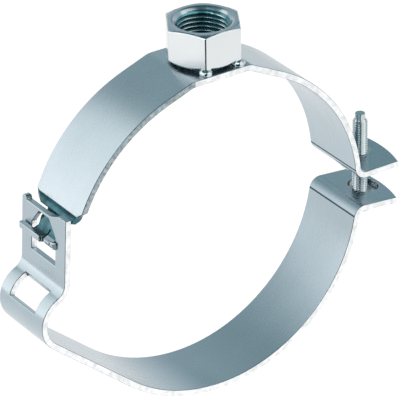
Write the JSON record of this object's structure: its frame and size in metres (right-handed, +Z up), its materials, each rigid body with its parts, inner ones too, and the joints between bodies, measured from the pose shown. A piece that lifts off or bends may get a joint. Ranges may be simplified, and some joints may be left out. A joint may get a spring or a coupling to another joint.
{
  "type": "pipe support",
  "caption": "Hinged two-part pipe clamp: bent steel straps hooked together on one side, drawn together by a screw on the other, with a threaded hexagon boss on top.",
  "frame": {"origin": "middle of the lower half's ring: on the pipe's axis, at the middle of the strap's width", "axes": "+Y along the pipe, +Z up towards the threaded boss, +X towards the clamping screw; the hooked side is -X"},
  "size_m": [0.164, 0.03, 0.1497],
  "materials": {
    "zinc_strap": "zinc plated, satin",
    "zinc_boss": "zinc plated, turned and milled",
    "zinc_screw": "zinc plated, satin"
  },
  "bodies": {
    "upper_half": {"upper_strap": "zinc_strap", "threaded_boss": "zinc_boss", "press_nut": "zinc_screw"},
    "lower_half": {"lower_strap": "zinc_strap"},
    "washer": {"screw_washer": "zinc_screw"},
    "screw": {"clamp_screw": "zinc_screw"}
  },
  "joints": [
    {"name": "strap_hinge", "type": "hinge", "parent": "upper_half", "child": "lower_half", "pos_m": [-0.0683, 0, 0.016], "axis": [0, -1, 0], "range_deg": [-4.5, 2.5]},
    {"name": "washer_travel", "type": "slide", "parent": "upper_half", "child": "washer", "axis": [0, 0, 1], "range_m": [-0.0125, 0.007]},
    {"name": "screw_turn", "type": "hinge", "parent": "washer", "child": "screw", "pos_m": [0.07516, 0, 0], "axis": [0, 0, 1], "range_deg": [-4500, 2500]}
  ],
  "couplings": [
    {"joint": "washer_travel", "follows": "strap_hinge", "m_per_rad": 0.1527},
    {"joint": "screw_turn", "follows": "strap_hinge", "ratio": 959.44}
  ]
}
